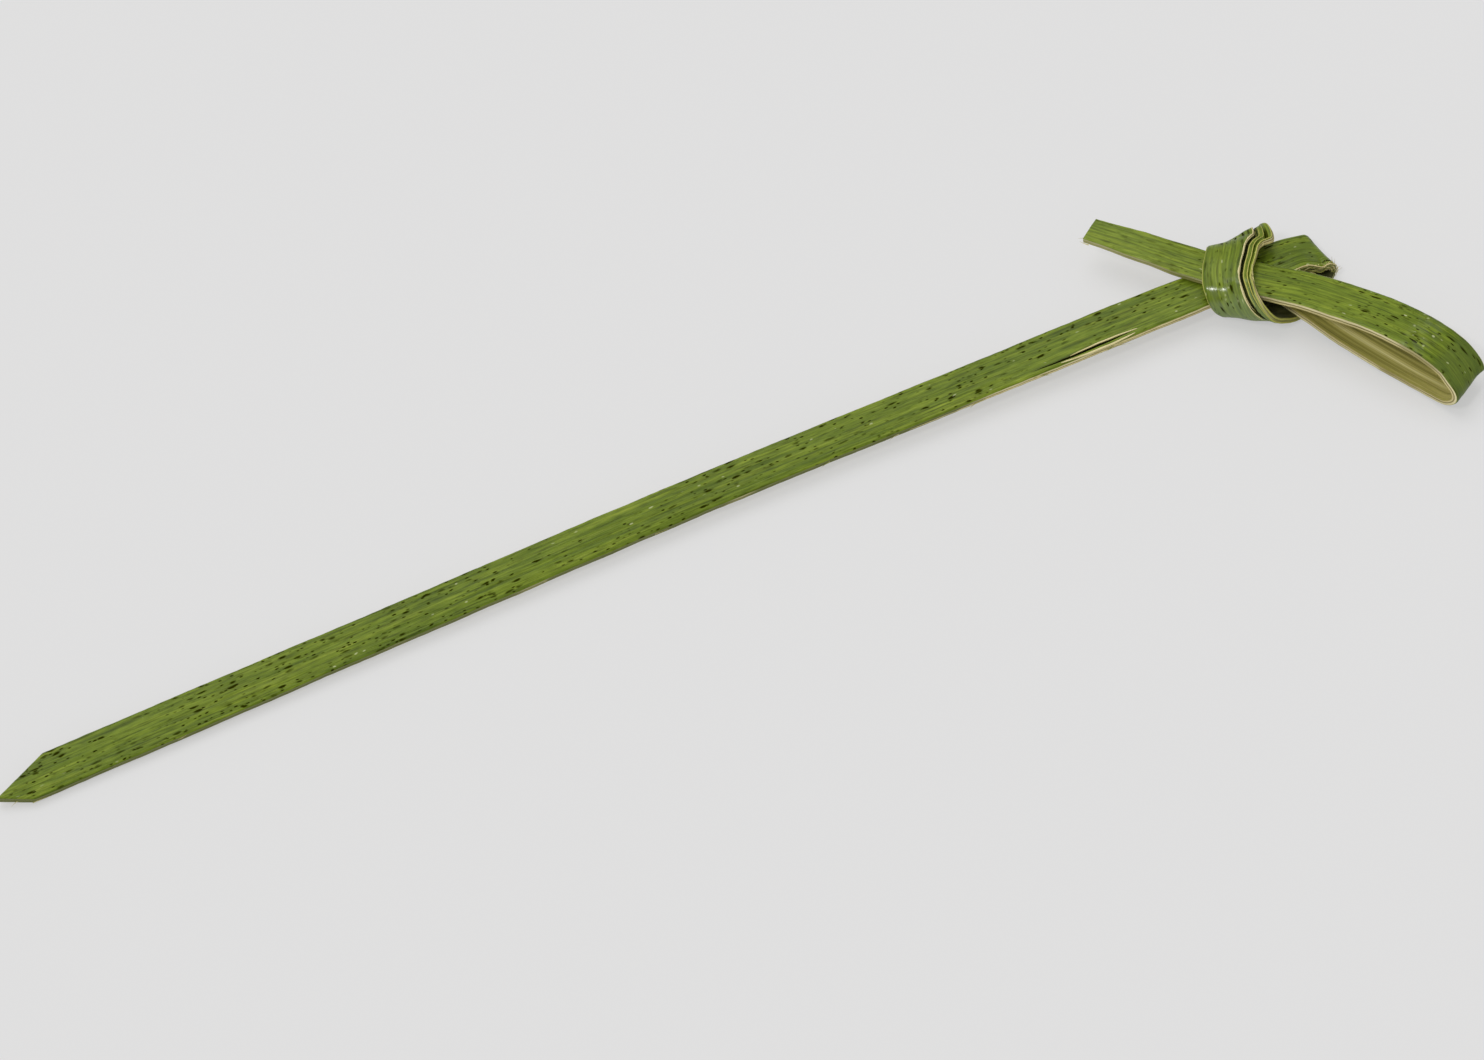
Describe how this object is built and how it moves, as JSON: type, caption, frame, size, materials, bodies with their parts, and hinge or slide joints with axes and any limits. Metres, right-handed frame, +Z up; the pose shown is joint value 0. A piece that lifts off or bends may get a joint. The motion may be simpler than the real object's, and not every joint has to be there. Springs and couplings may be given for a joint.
{
  "type": "knotted bamboo pick",
  "caption": "Flat split-bamboo food pick with a sharpened point, and a slipped knot and open loop at its other end.",
  "frame": {"origin": "on the surface that the pick lies on, below the middle of its bounding box", "axes": "+Z up from that surface, X along the shaft with the sharpened point at -X and the knot and loop at +X, Y across the shaft in the surface, the tail on the +Y side of the knot"},
  "size_m": [0.1204, 0.0284, 0.0047],
  "materials": {
    "green_bamboo": "satin, smooth green skin with a paler cut flesh side"
  },
  "bodies": {
    "root": {"bamboo_strip": "green_bamboo"}
  },
  "joints": []
}
